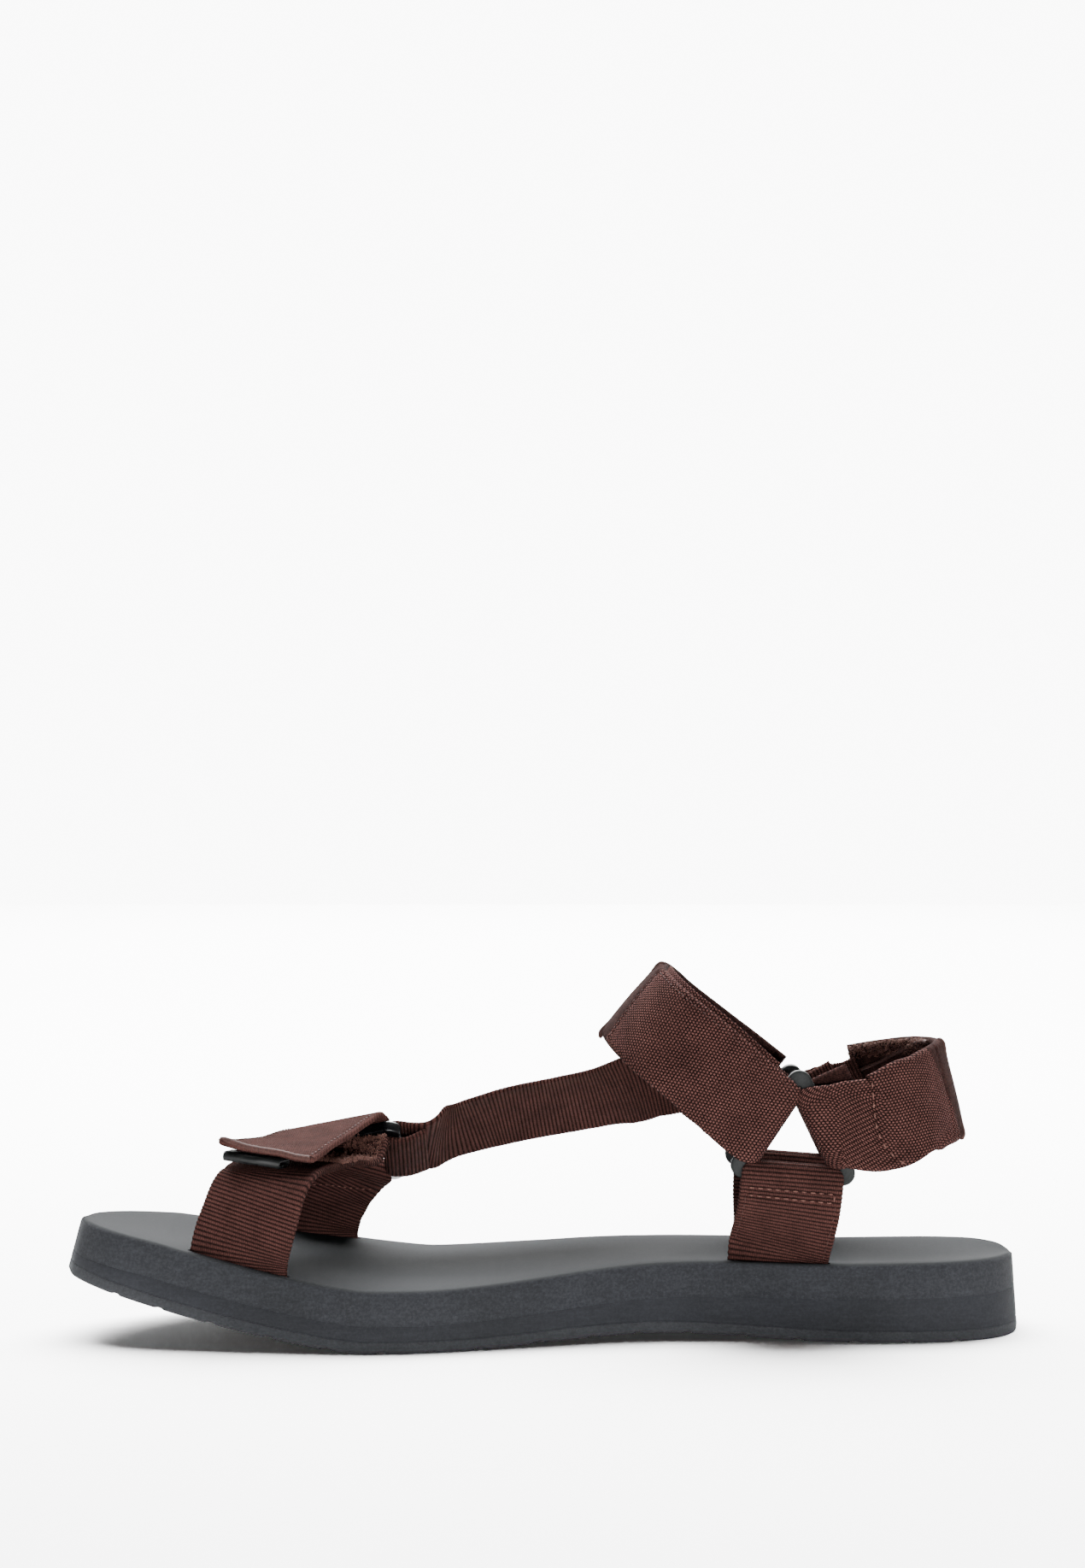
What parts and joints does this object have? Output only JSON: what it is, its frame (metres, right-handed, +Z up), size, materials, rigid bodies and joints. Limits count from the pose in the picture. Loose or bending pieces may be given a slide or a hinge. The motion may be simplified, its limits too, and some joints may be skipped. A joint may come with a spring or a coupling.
{
  "type": "sport sandal",
  "caption": "open sport sandal, right shoe: layered foam sole with webbing legs, plastic triangle rings, a folded toe strap, a padded instep strap and a padded heel strap",
  "frame": {"origin": "on the floor, under the middle of the sole's length and width", "axes": "+X to the heel with the toe at -X, +Y to the outer side of the foot, +Z up"},
  "size_m": [0.284, 0.1071, 0.109],
  "materials": {
    "outsole_rubber": "matt, lightly worn",
    "midsole_foam": "matt closed-cell foam with sanded sides",
    "footbed_foam": "matt closed-cell foam, bare",
    "ankle_ring_plastic": "satin grey-green",
    "toe_ring_plastic": "semi-gloss black",
    "webbing": "ribbed woven webbing, matt",
    "padded_sleeve": "plain canvas weave over thin foam, matt",
    "pull_rubber": "smooth black rubber"
  },
  "bodies": {
    "root": {"outsole": "outsole_rubber", "midsole": "midsole_foam", "footbed": "footbed_foam", "ankle_ring_inner": "ankle_ring_plastic", "ankle_ring_outer": "ankle_ring_plastic", "toe_ring": "toe_ring_plastic", "toe_strap": "webbing", "toe_pull_loop": "pull_rubber", "toe_leg_outer": "webbing", "ankle_leg_inner": "webbing", "ankle_leg_outer": "webbing", "connecting_strap": "webbing", "ankle_strap": "padded_sleeve", "ankle_tab": "webbing", "heel_strap": "padded_sleeve", "heel_tab": "webbing"}
  },
  "joints": []
}
